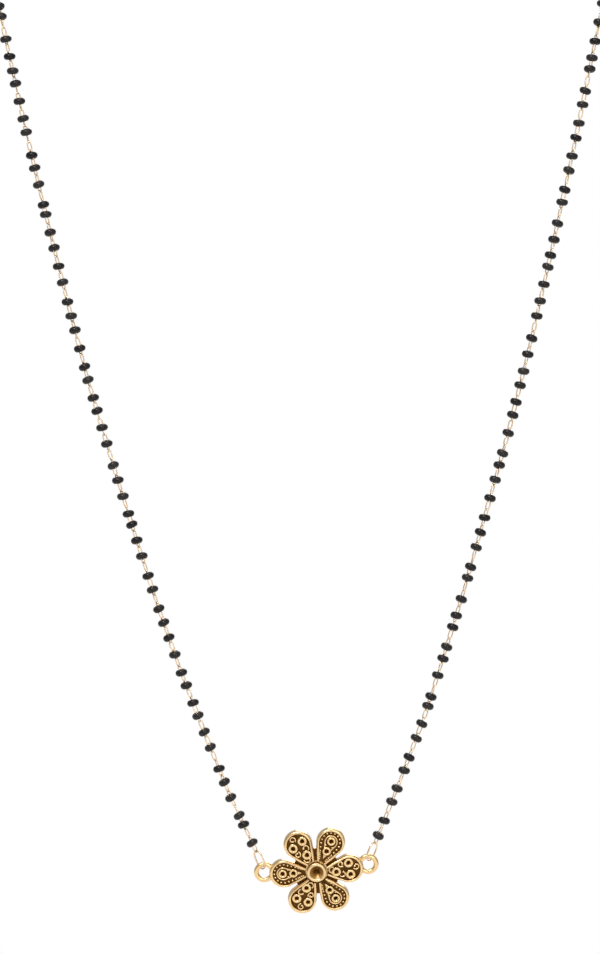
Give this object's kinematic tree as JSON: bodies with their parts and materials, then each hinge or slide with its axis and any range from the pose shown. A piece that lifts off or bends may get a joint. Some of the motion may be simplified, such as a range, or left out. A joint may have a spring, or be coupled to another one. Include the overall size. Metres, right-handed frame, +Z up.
{
  "type": "mangalsutra necklace",
  "caption": "Mangalsutra necklace: a long loop of fine chain threaded with small black beads, holding a cast antique-gold flower pendant by its side loops.",
  "frame": {"origin": "middle of the hook at the nape, where the loop hangs on the back of the neck", "axes": "+Z up, +X to the right seen from the front, +Y towards the wearer's back"},
  "size_m": [0.1254, 0.0648, 0.2054],
  "materials": {
    "antique_gold": "antique gold plating on a casting, dark brown in its hollows",
    "pale_gold": "bright pale gold plating",
    "black_glass": "opaque black, glossy"
  },
  "bodies": {
    "strands": {"jump_link_left": "pale_gold", "jump_link_right": "pale_gold", "chain_left": "pale_gold", "chain_right": "pale_gold", "beads_left_front": "black_glass", "beads_left_back": "black_glass", "beads_right_front": "black_glass", "beads_right_back": "black_glass", "end_ring_left": "pale_gold", "end_ring_right": "pale_gold", "clasp_hook": "pale_gold"},
    "pendant": {"flower_pendant": "antique_gold"}
  },
  "joints": [
    {"name": "pendant_swing", "type": "hinge", "parent": "strands", "child": "pendant", "pos_m": [0.00314, -0.06, -0.19211], "axis": [-0.9969, 0, -0.0785], "range_deg": [-8, 85]}
  ]
}
